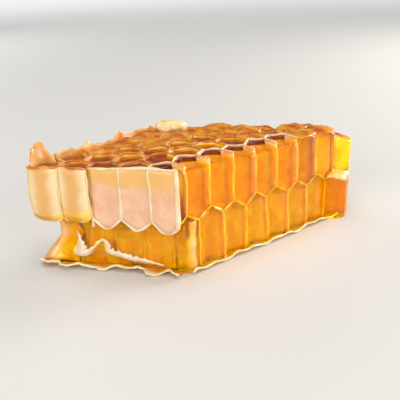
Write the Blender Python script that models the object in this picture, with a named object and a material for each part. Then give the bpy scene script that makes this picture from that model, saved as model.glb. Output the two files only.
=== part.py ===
"""A chunk of cut honeycomb: two layers of six-sided wax cells, back to back and full of honey.

The cells stand on end. Each layer is a close-packed lattice, and the two lattices are offset so that
the pointed base of each cell nests between three cells of the other layer, as bees build them. A knife
has cut the two near faces; the left end and the back are broken.
The origin is at the foot of the middle cell of the lower layer, on the plane that the piece rests on.
"""

import math
import random

import bmesh
import bpy
from mathutils import Matrix, Vector, noise

MM = 0.001

# Comb, as bees build it
CELL_PITCH = 5.4 * MM
THICKNESS = 19.0 * MM
MIDRIB_HEIGHT = 9.4 * MM
WALL_LAP = 0.11 * MM
BASE_LAP = 0.16 * MM
RIM_WIDTH = 0.46 * MM

# Plan of the piece: rows run along the near left face, columns along the near right face
ROW_ANGLE = math.radians(-22)
UPPER_ROWS, UPPER_COLUMNS = 5, 9
LOWER_ROWS, LOWER_COLUMNS = 5, 8
MIDDLE_ROW, MIDDLE_COLUMN = 2, 3
UPPER_BROKEN_OFF = {(0, 6), (0, 7), (0, 8), (1, 7), (1, 8), (2, 8)}
LOWER_BROKEN_OFF = {(0, 6), (0, 7), (1, 7)}
SLUMPED_CELLS = {(2, 7), (3, 8), (4, 8)}

# Cut faces: how far in front of the axes of the nearest cells the knife passed
UPPER_LEFT_CUT = 0.3 * MM
UPPER_RIGHT_CUT = 1.56 * MM
LOWER_LEFT_CUT = 0.0
LOWER_RIGHT_CUT = 0.05 * MM
FLAT_BELLY = 0.12 * MM
ROUND_BELLY = 0.42 * MM
WHOLE_LEFT_CELLS = 2
WHOLE_RIGHT_CELLS = 1

# Mouths of the cells
HONEY_DEPTH = 0.75 * MM
FOOT_DEPTH = 0.45 * MM
CAP_RISE = 0.42 * MM
MOUTH_UNEVENNESS = 0.16 * MM
FOOT_OVERHANG = 0.3 * MM
SLUMP = 1.1 * MM

# Form of a whole cell seen from outside
BARREL_BULGE = 0.055
SIDE_ROUNDING = 0.035
CORNER_ROUNDING = 0.03

# Unevenness of the whole piece
SEED = 11
RIPPLE = 0.30 * MM
RIPPLE_LENGTH = 9.0 * MM
THINNING_PER_METRE = 2.4
FLARE_HEIGHT = 5.0 * MM
FLARE_REACH = 3.0 * MM
WAIST_DEPTH = 1.3 * MM
LEFT_END_STARTS = -14.0 * MM
LEFT_END_ENDS = -26.0 * MM

# What lies on the comb
DRAPE_SIZE = (23.5 * MM, 3.2 * MM, 9.4 * MM)
DRAPE_HEIGHT = 4.9 * MM
SKIRT_SIZE = (24.0 * MM, 3.0 * MM, 0.9 * MM)
SKIRT_WAVE = 0.55 * MM
TORN_WALL_COUNT = 6
TORN_WALL_THICKNESS = 0.62 * MM
TORN_WALL_HEIGHT = 2.0 * MM
CORNER_WALL_HEIGHT = 4.0 * MM
WAX_LUMP_SIZE = (6.0 * MM, 3.4 * MM, 2.4 * MM)

WAX_AND_HONEY = (0.83, 0.42, 0.07, 1.0)

CELL_SIDE = CELL_PITCH / math.sqrt(3)
CELL_APOTHEM = CELL_PITCH / 2
BASE_STEP = CELL_SIDE / (2 * math.sqrt(2))


def heading(angle):
    return Vector((math.cos(angle), math.sin(angle), 0))


SIXTH_TURN = math.radians(60)
COLUMN_ANGLE = ROW_ANGLE + SIXTH_TURN
CORNER_ANGLE = ROW_ANGLE + SIXTH_TURN / 2
ALONG_ROW = heading(ROW_ANGLE) * CELL_PITCH
ALONG_COLUMN = heading(COLUMN_ANGLE) * CELL_PITCH
LAYER_OFFSET = (ALONG_ROW + ALONG_COLUMN) / 3
LEFT_FACING = heading(ROW_ANGLE - math.radians(90))
RIGHT_FACING = heading(COLUMN_ANGLE - math.radians(90))
NEAR_CORNER_X = -4.3 * MM


def clear_scene():
    for obj in list(bpy.data.objects):
        bpy.data.objects.remove(obj, do_unlink=True)


def smooth_step(value, start, end):
    share = min(max((value - start) / (end - start), 0.0), 1.0)
    return share * share * (3 - 2 * share)


def lower_centre(row, column):
    return ALONG_ROW * (row - MIDDLE_ROW) + ALONG_COLUMN * (column - MIDDLE_COLUMN)


def upper_centre(row, column):
    return lower_centre(row, column) - LAYER_OFFSET


def neighbours(cell):
    row, column = cell
    steps = ((1, 0), (0, 1), (-1, 1), (-1, 0), (0, -1), (1, -1))
    return [(row + r, column + c) for r, c in steps]


def layer_cells(rows, columns, broken_off):
    cells = [(row, column) for row in range(rows) for column in range(columns)]
    return [cell for cell in cells if cell not in broken_off]


def is_capped(row, column):
    """Cells still sealed with wax: the back of the piece, apart from a few."""
    return column - row >= 2 and (row + 2 * column) % 5 != 0


def warp(point):
    """Where a point of the perfect comb lies in this piece, which has sagged, thinned and flared."""
    x, y, z = point
    left_end = smooth_step(x, LEFT_END_STARTS, LEFT_END_ENDS)
    flare = left_end * (1 - smooth_step(z, 0, FLARE_HEIGHT))
    waist = left_end * math.exp(-(((z - 6.4 * MM) / (2.0 * MM)) ** 2))
    thinner = 1 - THINNING_PER_METRE * abs(x - NEAR_CORNER_X)
    drift = noise.noise_vector(Vector(point) / RIPPLE_LENGTH) * RIPPLE
    lift = smooth_step(z, 0, 4 * MM)
    return Vector((
        x - flare * FLARE_REACH + waist * WAIST_DEPTH + drift.x,
        y - flare * FLARE_REACH * 0.3 + drift.y,
        z * thinner + drift.z * lift,
    ))


def base_height(local, direction):
    """Height of the three-sided point over a place in the cell, measured from the cell's axis."""
    first = CORNER_ANGLE if direction > 0 else CORNER_ANGLE + SIXTH_TURN
    reach = max(local.dot(heading(first + turn * 2 * SIXTH_TURN)) for turn in range(3))
    return MIDRIB_HEIGHT + direction * (BASE_STEP * (2 * reach / CELL_SIDE - 1) - BASE_LAP)


def cuts_of(cell, upper):
    """The knife cuts through a cell: which way each faces, how far from the axis, and its belly."""
    row, column = cell
    rows, columns = (UPPER_ROWS, UPPER_COLUMNS) if upper else (LOWER_ROWS, LOWER_COLUMNS)
    cuts = []
    if column == 0:
        if not upper:
            cuts.append((LEFT_FACING, LOWER_LEFT_CUT, FLAT_BELLY))
        elif row >= WHOLE_LEFT_CELLS:
            cuts.append((LEFT_FACING, UPPER_LEFT_CUT, FLAT_BELLY))
        else:
            cuts.append((LEFT_FACING, UPPER_LEFT_CUT * (3.5 - row), ROUND_BELLY * 1.5))
    if row == rows - 1 and column < columns - WHOLE_RIGHT_CELLS:
        offset = UPPER_RIGHT_CUT if upper else LOWER_RIGHT_CUT
        cuts.append((RIGHT_FACING, offset, ROUND_BELLY))
    return cuts


def shape_ring(bm, sides, swell, cuts):
    """Turns the round prism into a six-sided cell with soft corners, and brings it back to the cuts."""
    apothem = CELL_APOTHEM + WALL_LAP
    corner = apothem / math.cos(math.radians(30))
    for vert in bm.verts:
        angle = math.atan2(vert.co.y, vert.co.x)
        sixth = (angle - CORNER_ANGLE) / SIXTH_TURN
        off_corner = abs(sixth - round(sixth)) * 2
        if sides == 6:
            radius = corner
        elif off_corner > 0.5:
            radius = apothem * (1 + SIDE_ROUNDING)
        else:
            radius = corner * (1 - CORNER_ROUNDING)
        vert.co.xy = heading(angle).xy * radius * (1 + swell(vert.co.z))
        for facing, offset, belly in cuts:
            out = vert.co.dot(facing)
            across = facing.cross(vert.co).z
            limit = offset + belly * math.cos(min(abs(across) / (CELL_APOTHEM * 1.15), 1.5))
            if out > limit:
                vert.co -= facing * (out - limit)


def pointed_base(bm, base_face, direction):
    """Shapes the blind end into the three-sided point that nests between the cells beyond it."""
    for vert in base_face.verts:
        vert.co.z = base_height(Vector((vert.co.x, vert.co.y, 0)), direction)
    made = bmesh.ops.poke(bm, faces=[base_face])
    tip = made["verts"][0]
    tip.co = Vector((0, 0, base_height(Vector((0, 0, 0)), direction)))


def mouth(bm, face, direction, kind):
    """Gives the open end its wax rim, with honey below it or a wax cap over it."""
    if kind == "flat":
        return
    bmesh.ops.inset_region(bm, faces=[face], thickness=RIM_WIDTH, use_even_offset=True)
    depth = {"open": HONEY_DEPTH, "foot": FOOT_DEPTH, "capped": -CAP_RISE * 0.35}[kind]
    inner = bmesh.ops.extrude_face_region(bm, geom=[face])["geom"]
    inner_verts = [item for item in inner if isinstance(item, bmesh.types.BMVert)]
    inner_faces = [item for item in inner if isinstance(item, bmesh.types.BMFace)]
    bmesh.ops.delete(bm, geom=[face], context="FACES_ONLY")
    for vert in inner_verts:
        vert.co.z -= direction * depth
    made = bmesh.ops.poke(bm, faces=inner_faces)
    middle_rise = {"open": -0.12 * MM, "foot": 0, "capped": CAP_RISE * 0.65}[kind]
    made["verts"][0].co.z += direction * middle_rise


def cell_mesh(name, cell, centre, on_edge, upper, kind, draw):
    """One cell: a six-sided cup with a pointed base, which opens upwards or downwards."""
    direction = 1 if upper else -1
    sides = 12 if on_edge else 6
    cuts = cuts_of(cell, upper)
    size = 1 + draw.uniform(-0.008, 0.008)
    if upper:
        mouth_height = THICKNESS + draw.uniform(-1, 1) * MOUTH_UNEVENNESS
        if cell in SLUMPED_CELLS:
            mouth_height -= SLUMP
    else:
        mouth_height = 0 if kind == "flat" else -FOOT_OVERHANG * draw.uniform(0.2, 1)
    wall_end = MIDRIB_HEIGHT - direction * BASE_LAP
    length = abs(mouth_height - wall_end)

    def swell(height):
        share = min(max(abs(height - wall_end) / length, 0), 1)
        return BARREL_BULGE * math.sin(math.pi * share) ** 0.8 if on_edge else 0

    bm = bmesh.new()
    bmesh.ops.create_cone(
        bm, cap_ends=True, segments=sides, radius1=CELL_PITCH, radius2=CELL_PITCH, depth=length,
        matrix=Matrix.Rotation(CORNER_ANGLE - math.radians(90), 4, "Z"),
    )
    bmesh.ops.translate(bm, verts=bm.verts, vec=(0, 0, (mouth_height + wall_end) / 2))
    if on_edge:
        for share in (0.16, 0.45, 0.75):
            height = wall_end + (mouth_height - wall_end) * share
            geometry = bm.verts[:] + bm.edges[:] + bm.faces[:]
            bmesh.ops.bisect_plane(bm, geom=geometry, plane_co=(0, 0, height), plane_no=(0, 0, 1))
    shape_ring(bm, sides, swell, cuts)
    ends = sorted((f for f in bm.faces if len(f.verts) == sides), key=lambda f: f.calc_center_median().z)
    base_face, mouth_face = (ends[0], ends[-1]) if upper else (ends[-1], ends[0])
    mouth(bm, mouth_face, direction, kind)
    pointed_base(bm, base_face, direction)
    bmesh.ops.triangulate(bm, faces=bm.faces[:])
    for vert in bm.verts:
        vert.co.xy = vert.co.xy * size + centre.xy
        vert.co = warp(vert.co)
    bmesh.ops.recalc_face_normals(bm, faces=bm.faces[:])
    mesh = bpy.data.meshes.new(name)
    bm.to_mesh(mesh)
    bm.free()
    return mesh


def add_object(name, mesh, collection):
    obj = bpy.data.objects.new(name, mesh)
    collection.objects.link(obj)
    return obj


def add_layer(name, cells, centre_of, upper, collection, draw):
    present = set(cells)
    for cell in cells:
        on_edge = any(other not in present for other in neighbours(cell))
        if upper:
            kind = "capped" if is_capped(*cell) else "open"
        else:
            kind = "flat" if (cell[0] + cell[1]) % 3 == (MIDDLE_ROW + MIDDLE_COLUMN) % 3 else "foot"
        label = f"{name}_{cell[0]}_{cell[1]}"
        mesh = cell_mesh(label, cell, centre_of(*cell), on_edge, upper, kind, draw)
        add_object(label, mesh, collection)


def add_warped(name, bm, turn, place, collection):
    """Turns and places a shape in the perfect comb, then bends it with the rest of the piece."""
    rotation = Matrix.Rotation(turn, 3, "Z")
    for vert in bm.verts:
        vert.co = warp(rotation @ vert.co + place)
    mesh = bpy.data.meshes.new(name)
    bm.to_mesh(mesh)
    bm.free()
    add_object(name, mesh, collection)


def grid_box(size, cuts):
    bm = bmesh.new()
    bmesh.ops.create_cube(bm, size=1)
    bmesh.ops.subdivide_edges(bm, edges=bm.edges[:], cuts=cuts, use_grid_fill=True)
    bmesh.ops.scale(bm, vec=size, verts=bm.verts)
    return bm


def add_drape(collection):
    """Thick honey that has run down over the lower cells of the near left face."""
    bm = bmesh.new()
    bmesh.ops.create_uvsphere(bm, u_segments=20, v_segments=10, radius=0.5)
    for vert in bm.verts:
        vert.co = Vector([math.copysign(abs(2 * value) ** 0.6, value) / 2 for value in vert.co])
    bmesh.ops.scale(bm, vec=DRAPE_SIZE, verts=bm.verts)
    middle = (lower_centre(0, 0) + lower_centre(4, 0)) / 2
    place = middle - ALONG_ROW * 0.1 - LEFT_FACING * 0.55 * MM + Vector((0, 0, DRAPE_HEIGHT))
    add_warped("honey_drape", bm, ROW_ANGLE, place, collection)


def add_skirt(collection):
    """The wavy edge of wax that sticks out under the drape."""
    bm = bmesh.new()
    bmesh.ops.create_grid(bm, x_segments=22, y_segments=3, size=0.5)
    grown = bmesh.ops.extrude_face_region(bm, geom=bm.faces[:])["geom"]
    for item in grown:
        if isinstance(item, bmesh.types.BMVert):
            item.co.z += 1
    bmesh.ops.scale(bm, vec=SKIRT_SIZE, verts=bm.verts)
    for vert in bm.verts:
        outer = 0.5 - vert.co.y / SKIRT_SIZE[1]
        wave = math.sin(vert.co.x / (1.25 * MM)) + 0.7 * math.sin(vert.co.x / (0.61 * MM) + 1.1)
        vert.co.z = vert.co.z * (1 - 0.4 * outer) + (wave * 0.5 + 0.6) * SKIRT_WAVE * outer
        vert.co.y -= 0.35 * SKIRT_WAVE * wave * outer
    middle = (lower_centre(0, 0) + lower_centre(4, 0)) / 2
    place = middle - ALONG_ROW * 0.33 + LEFT_FACING * 0.9 * MM + Vector((0, 0, 0.1 * MM))
    bmesh.ops.recalc_face_normals(bm, faces=bm.faces[:])
    add_warped("wax_skirt", bm, ROW_ANGLE, place, collection)


def add_torn_walls(collection, draw):
    """Torn cell walls that still stand along the broken edge at the back left, tallest at its end."""
    outwards = heading(COLUMN_ANGLE + math.radians(90))
    for number in range(TORN_WALL_COUNT):
        column = number * 0.92
        height = CORNER_WALL_HEIGHT if number == 0 else TORN_WALL_HEIGHT * draw.uniform(0.65, 1.25)
        size = Vector((5.2 * MM, TORN_WALL_THICKNESS, height + 1.2 * MM))
        bm = grid_box(size, 3)
        lean = draw.uniform(-0.25, 0.35)
        peak = draw.uniform(-0.25, 0.25)
        for vert in bm.verts:
            up = vert.co.z / size.z + 0.5
            across = vert.co.x / size.x
            vert.co.y *= 1 - 0.4 * up
            vert.co.z -= up * size.z * 0.75 * abs(across - peak)
            vert.co.y += (lean * up * up * size.z) - 2.2 * MM * across * across
        place = upper_centre(0, column) + outwards * CELL_APOTHEM * 0.8
        place.z = THICKNESS - 1.2 * MM + size.z / 2
        add_warped(f"torn_wall_{number}", bm, COLUMN_ANGLE, place, collection)


def add_wax_lump(collection):
    """A lump of pale capping wax left on the far edge."""
    bm = bmesh.new()
    bmesh.ops.create_icosphere(bm, subdivisions=2, radius=0.5)
    bmesh.ops.scale(bm, vec=WAX_LUMP_SIZE, verts=bm.verts)
    for vert in bm.verts:
        vert.co += noise.noise_vector(vert.co / (1.6 * MM)) * 0.3 * MM
    place = upper_centre(0.1, 4.9) + Vector((0, 0, THICKNESS + 0.6 * MM))
    add_warped("wax_lump", bm, math.radians(12), place, collection)


def add_rest_plane(collection):
    """A block under the plane that the piece rests on, which trims its feet level."""
    bm = bmesh.new()
    bmesh.ops.create_cube(bm, size=1)
    bmesh.ops.scale(bm, vec=(90 * MM, 70 * MM, 10 * MM), verts=bm.verts)
    bmesh.ops.translate(bm, vec=(0, 0, -5 * MM), verts=bm.verts)
    mesh = bpy.data.meshes.new("rest_plane")
    bm.to_mesh(mesh)
    bm.free()
    block = add_object("rest_plane", mesh, collection)
    block.hide_render = True
    block.display_type = "WIRE"
    return block


def wax_and_honey_material():
    material = bpy.data.materials.new("wax_and_honey")
    material.use_nodes = True
    surface = material.node_tree.nodes["Principled BSDF"]
    surface.inputs["Base Color"].default_value = WAX_AND_HONEY
    surface.inputs["Roughness"].default_value = 0.22
    surface.inputs["Metallic"].default_value = 0.0
    return material


def evaluated_mesh(obj):
    graph = bpy.context.evaluated_depsgraph_get()
    return bpy.data.meshes.new_from_object(obj.evaluated_get(graph))


def join_shapes(shapes, collection):
    """One closed solid from all the overlapping cells and what lies on them."""
    first = shapes.objects[0]
    shapes.objects.unlink(first)
    collection.objects.link(first)
    union = first.modifiers.new("join", "BOOLEAN")
    union.operation = "UNION"
    union.operand_type = "COLLECTION"
    union.collection = shapes
    union.solver = "MANIFOLD"
    mesh = evaluated_mesh(first)
    for obj in list(shapes.objects) + [first]:
        bpy.data.objects.remove(obj, do_unlink=True)
    return add_object("honeycomb", mesh, collection)


def trim_feet(piece, block):
    cut = piece.modifiers.new("level_feet", "BOOLEAN")
    cut.operation = "DIFFERENCE"
    cut.object = block
    cut.solver = "MANIFOLD"
    mesh = evaluated_mesh(piece)
    piece.modifiers.clear()
    piece.data = mesh
    bpy.data.objects.remove(block, do_unlink=True)


def main():
    clear_scene()
    draw = random.Random(SEED)
    root = bpy.context.scene.collection
    parts = bpy.data.collections.new("honeycomb_piece")
    shapes = bpy.data.collections.new("shapes_to_join")
    cutters = bpy.data.collections.new("cutters")
    for collection in (parts, shapes, cutters):
        root.children.link(collection)

    upper = layer_cells(UPPER_ROWS, UPPER_COLUMNS, UPPER_BROKEN_OFF)
    lower = layer_cells(LOWER_ROWS, LOWER_COLUMNS, LOWER_BROKEN_OFF)
    add_layer("upper", upper, upper_centre, True, shapes, draw)
    add_layer("lower", lower, lower_centre, False, shapes, draw)
    add_drape(shapes)
    add_skirt(shapes)
    add_torn_walls(shapes, draw)
    add_wax_lump(shapes)

    piece = join_shapes(shapes, parts)
    trim_feet(piece, add_rest_plane(cutters))
    piece.data.materials.clear()
    piece.data.materials.append(wax_and_honey_material())
    piece.data.shade_smooth()
    piece.data.set_sharp_from_angle(angle=math.radians(35))


main()
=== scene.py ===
import math
import random

import bmesh
import bpy
from mathutils import Matrix, Vector, noise


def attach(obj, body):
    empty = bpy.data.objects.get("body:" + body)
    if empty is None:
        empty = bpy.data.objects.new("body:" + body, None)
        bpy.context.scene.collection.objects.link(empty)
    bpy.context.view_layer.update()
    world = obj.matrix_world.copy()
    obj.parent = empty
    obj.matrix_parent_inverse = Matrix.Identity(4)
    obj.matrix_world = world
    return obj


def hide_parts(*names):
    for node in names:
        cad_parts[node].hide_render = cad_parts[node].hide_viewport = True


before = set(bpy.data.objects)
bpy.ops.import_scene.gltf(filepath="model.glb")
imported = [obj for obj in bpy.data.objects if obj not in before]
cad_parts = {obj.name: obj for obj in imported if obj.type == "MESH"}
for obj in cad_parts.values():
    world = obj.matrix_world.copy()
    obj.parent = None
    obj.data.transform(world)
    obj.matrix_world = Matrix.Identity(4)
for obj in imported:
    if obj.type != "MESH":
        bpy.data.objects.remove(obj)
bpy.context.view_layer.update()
print("frame loaded")

mm = 0.001

# The comb: lengths in millimetres, angles in degrees, cells by row and column
comb = {
    "cellPitch": 5.4,
    "thickness": 19.0,
    "midribHeight": 9.4,
    "rowAngle": -22.0,
    "rows": 5,
    "upperColumns": 9,
    "lowerColumns": 8,
    "middleCell": (2, 3),
    "upperBrokenOff": {(0, 6), (0, 7), (0, 8), (1, 7), (1, 8), (2, 8)},
    "lowerBrokenOff": {(0, 6), (0, 7), (1, 7)},
    "wholeCells": {(0, 0), (1, 0)},
    "slumpedCells": {(2, 7), (3, 8), (4, 8)},
    "slump": 1.1,
    "seed": 11,
}

pitch = comb["cellPitch"]
side = pitch / math.sqrt(3)
apothem = pitch / 2
baseStep = side / (2 * math.sqrt(2))
sixth = math.radians(60)
quarter = math.radians(90)
rowAngle = math.radians(comb["rowAngle"])
columnAngle = rowAngle + sixth
cornerAngle = rowAngle + sixth / 2
top = comb["thickness"]
midrib = comb["midribHeight"]
nearRow = comb["rows"] - 1


def heading(angle):
    return Vector((math.cos(angle), math.sin(angle), 0))


alongRow = heading(rowAngle) * pitch
alongColumn = heading(columnAngle) * pitch
layerOffset = (alongRow + alongColumn) / 3
leftFacing = heading(rowAngle - quarter)
rightFacing = heading(columnAngle - quarter)
backFacing = heading(columnAngle + quarter)
draw = random.Random(comb["seed"])
noise.seed_set(comb["seed"])


def smoothStep(value, start, end):
    share = min(max((value - start) / (end - start), 0.0), 1.0)
    return share * share * (3 - 2 * share)


def shares(count):
    # even steps from 0 to 1
    return [step / count for step in range(count + 1)]


def layerName(upper):
    return "upper" if upper else "lower"


def lastColumn(upper):
    return comb[layerName(upper) + "Columns"] - 1


def lowerCentre(row, column):
    middleRow, middleColumn = comb["middleCell"]
    return alongRow * (row - middleRow) + alongColumn * (column - middleColumn)


def upperCentre(row, column):
    return lowerCentre(row, column) - layerOffset


def centreOf(cell, upper):
    return upperCentre(*cell) if upper else lowerCentre(*cell)


def cellsOf(upper):
    cells = [(row, column) for row in range(comb["rows"]) for column in range(lastColumn(upper) + 1)]
    return [cell for cell in cells if cell not in comb[layerName(upper) + "BrokenOff"]]


upperCells = cellsOf(True)
lowerCells = cellsOf(False)
cellSet = {True: set(upperCells), False: set(lowerCells)}
leftFoot = (lowerCentre(0, 0) + lowerCentre(nearRow, 0)) / 2
rightFoot = (lowerCentre(nearRow, 0) + lowerCentre(nearRow, lastColumn(False))) / 2


def neighbour(cell, number):
    # neighbours stand at rowAngle + number sixths of a turn
    steps = ((1, 0), (0, 1), (-1, 1), (-1, 0), (0, -1), (1, -1))
    return (cell[0] + steps[number][0], cell[1] + steps[number][1])


# Unevenness of the whole piece: pairs are where a change starts and where it is complete
form = {
    "ripple": 0.30,
    "rippleLength": 9.0,
    "steadyFoot": (0.0, 4.0),
    "thinningPerMillimetre": 0.0024,
    "nearCornerX": -4.3,
    "leftEnd": (-14.0, -26.0),
    "flareHeight": (0.0, 5.0),
    "flareReach": 3.0,
    "flareForward": 0.3,
    "waistDepth": 0.5,
    "waistHeight": 6.4,
    "waistSpread": 2.0,
    "endDroop": 1.5,
    "droopAlong": (25.0, 32.0),
    "droopHeight": (9.0, top),
}


def warp(point):
    # ripple, thin ends, narrow waist, flared foot and hanging right end of the real piece
    x, y, z = point
    leftEnd = smoothStep(x, *form["leftEnd"])
    flare = leftEnd * (1 - smoothStep(z, *form["flareHeight"]))
    waist = leftEnd * math.exp(-(((z - form["waistHeight"]) / form["waistSpread"]) ** 2))
    thinner = 1 - form["thinningPerMillimetre"] * abs(x - form["nearCornerX"])
    drift = noise.noise_vector(Vector(point) / form["rippleLength"]) * form["ripple"]
    lift = smoothStep(z, *form["steadyFoot"])
    droop = form["endDroop"] * smoothStep(x, *form["droopAlong"]) * smoothStep(z, *form["droopHeight"])
    return Vector((
        x - flare * form["flareReach"] + waist * form["waistDepth"] + drift.x,
        y - flare * form["flareReach"] * form["flareForward"] + drift.y,
        z * thinner + drift.z * lift - droop,
    ))


def placeIn(centre, local, z):
    # a place at a distance from a cell's axis, on the uneven piece
    return warp(Vector((centre.x + local.x, centre.y + local.y, z)))


def baseHeight(local, upper):
    # the three-sided point of a cell, above a place measured from its axis
    first = cornerAngle if upper else cornerAngle + sixth
    reach = max(local.dot(heading(first + turn * 2 * sixth)) for turn in range(3))
    direction = 1 if upper else -1
    return midrib + direction * baseStep * (2 * reach / side - 1)


def mouthHeight(cell, upper):
    if not upper:
        return 0.02
    return top - (comb["slump"] if cell in comb["slumpedCells"] else 0)


def hexRadius(angle, flat, rounding):
    # radius of a six-sided outline with soft corners
    turn = (angle - cornerAngle) / sixth
    offFlat = (turn - math.floor(turn) - 0.5) * sixth
    return min(flat / math.cos(offFlat), flat * (1.155 - rounding))


# How far in front of the nearest cells' axes the knife passed, and how far the honey bellies out
knife = {
    "upperLeft": 0.3,
    "upperRight": 1.56,
    "lowerLeft": 0.0,
    "lowerRight": 0.05,
    "wholeCells": 3.5,  # times upperLeft, less one for each row
    "lowerLeftBelly": 0.25,
    "wholeBelly": 0.63,
    "rightBelly": 0.55,
    "endBelly": 0.95,
    "bellyWidth": 1.15,
    "bellyUnevenness": 0.9,
}


def cutsOf(cell, upper):
    # which way each knife cut faces, how far it lies from the cell's axis, and its belly
    row, column = cell
    cuts = []
    if column == 0:
        if not upper:
            cuts.append((leftFacing, knife["lowerLeft"], knife["lowerLeftBelly"]))
        elif cell in comb["wholeCells"]:
            cuts.append((leftFacing, knife["upperLeft"] * (knife["wholeCells"] - row), knife["wholeBelly"]))
        else:
            cuts.append((leftFacing, knife["upperLeft"], 0.0))
    if row == nearRow and column < lastColumn(upper):
        isEnd = upper and column == lastColumn(upper) - 1
        belly = knife["endBelly" if isEnd else "rightBelly"]
        cuts.append((rightFacing, knife[layerName(upper) + "Right"], belly))
    return cuts


def unevenCuts(cell, upper):
    # the same cuts, with more honey standing out of some cells than of others
    lump = noise.noise(Vector((cell[0] * 1.7, cell[1] * 2.3, 5 if upper else 9)))
    share = 1 + knife["bellyUnevenness"] * lump
    return [(facing, offset, belly * share) for facing, offset, belly in cutsOf(cell, upper)]


def cutBack(local, cuts, extra=0.0, bellied=True):
    # brings a place in front of a cut back to it
    for facing, offset, belly in cuts:
        out = local.dot(facing)
        across = facing.cross(local).z
        limit = offset + extra
        if bellied:
            limit += belly * math.cos(min(abs(across) / (apothem * knife["bellyWidth"]), 1.5))
        if out > limit:
            local = local - facing * (out - limit)
    return local


# Helpers for meshes


def newObject(name, data):
    obj = bpy.data.objects.new(name, data)
    bpy.context.scene.collection.objects.link(obj)
    return obj


def plainMesh(obj, name):
    # the evaluated shape as a mesh of its own
    graph = bpy.context.evaluated_depsgraph_get()
    mesh = bpy.data.meshes.new_from_object(obj.evaluated_get(graph))
    mesh.name = name
    return mesh


def bake(obj, name):
    # turns an object with modifiers, or a curve, into a plain smooth mesh
    mesh = plainMesh(obj, name)
    bpy.data.objects.remove(obj, do_unlink=True)
    mesh.shade_smooth()
    return newObject(name, mesh)


def meshFromBmesh(bm, name):
    bmesh.ops.scale(bm, vec=(mm, mm, mm), verts=bm.verts)
    mesh = bpy.data.meshes.new(name)
    bm.to_mesh(mesh)
    bm.free()
    return mesh


def gridOf(levels, steps, placeAt):
    # rows of places; placeAt takes how far up and how far along each is, both from 0 to 1
    return [[placeAt(up, along) for along in shares(steps)] for up in shares(levels)]


def addSheet(bm, grid, shade=None):
    # rows of places become a sheet of quads; shade names an attribute that rises row by row
    layer = bm.verts.layers.float.new(shade) if shade else None
    rows = [[bm.verts.new(place) for place in line] for line in grid]
    for low, high in zip(rows, rows[1:]):
        for a, b, c, d in zip(low, low[1:], high[1:], high):
            bm.faces.new((a, b, c, d))
    if shade:
        for row, share in zip(rows, shares(len(rows) - 1)):
            for vert in row:
                vert[layer] = share


def thickened(bm, name, material, thickness, softening=0):
    # sheets become a thin wall; softening relaxes all but their open edges
    bmesh.ops.remove_doubles(bm, verts=bm.verts[:], dist=0.02)
    bmesh.ops.dissolve_degenerate(bm, edges=bm.edges[:], dist=0.02)
    inner = [vert for vert in bm.verts if not any(edge.is_boundary for edge in vert.link_edges)]
    for _ in range(softening):
        bmesh.ops.smooth_vert(bm, verts=inner, factor=0.5, use_axis_x=True, use_axis_y=True, use_axis_z=True)
    obj = newObject(name, meshFromBmesh(bm, name))
    obj.data.materials.append(material)
    solid = obj.modifiers.new("thickness", "SOLIDIFY")
    solid.solidify_mode = "NON_MANIFOLD"
    solid.nonmanifold_thickness_mode = "FIXED"
    solid.nonmanifold_boundary_mode = "NONE"
    solid.thickness = thickness * mm
    solid.offset = 0.0
    return bake(obj, name)


def sheetPiece(name, grid, material, thickness, softening=0):
    # a piece that is one sheet
    bm = bmesh.new()
    addSheet(bm, grid)
    return thickened(bm, name, material, thickness, softening)


def beads(name, lines, material, radius, unevenness):
    # rounded edges that follow lines of places
    curve = bpy.data.curves.new(name, "CURVE")
    curve.dimensions = "3D"
    curve.bevel_depth = radius * mm
    curve.bevel_resolution = 2
    curve.resolution_u = 2
    curve.use_fill_caps = True
    for line in lines:
        spline = curve.splines.new("BEZIER")
        spline.bezier_points.add(len(line) - 1)
        for point, place in zip(spline.bezier_points, line):
            point.co = place * mm
            point.handle_left_type = point.handle_right_type = "AUTO"
            point.radius = 1 + unevenness * noise.noise(place / 1.3)
    curve.materials.append(material)
    return bake(newObject(name, curve), name)


# Helpers for materials


class Socket:
    # an output socket that can be used in sums
    def __init__(self, maker, output):
        self.maker = maker
        self.output = output

    def math(self, operation, first, second):
        made = self.maker.add("ShaderNodeMath", {"operation": operation}, {0: first, 1: second})
        return self.maker.out(made)

    def __add__(self, other):
        return self.math("ADD", self, other)

    def __radd__(self, other):
        return self.math("ADD", other, self)

    def __sub__(self, other):
        return self.math("SUBTRACT", self, other)

    def __rsub__(self, other):
        return self.math("SUBTRACT", other, self)

    def __mul__(self, other):
        return self.math("MULTIPLY", self, other)

    def __rmul__(self, other):
        return self.math("MULTIPLY", other, self)

    def ramp(self, start, end):
        values = {"Value": self, "From Min": start, "From Max": end}
        made = self.maker.add("ShaderNodeMapRange", {"interpolation_type": "SMOOTHSTEP"}, values)
        return self.maker.out(made, "Result")


class NodeMaker:
    # adds nodes to a tree: settings are set first, then the values or links of the sockets
    def __init__(self, tree):
        self.tree = tree

    def add(self, kind, settings=None, values=None):
        made = self.tree.nodes.new(kind)
        for key, value in (settings or {}).items():
            setattr(made, key, value)
        self.feed(made, values or {})
        return made

    def feed(self, node, values):
        for key, value in values.items():
            if isinstance(value, Socket):
                self.tree.links.new(value.output, node.inputs[key])
            else:
                node.inputs[key].default_value = value

    def out(self, node, name=0):
        return Socket(self, node.outputs[name])


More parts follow.
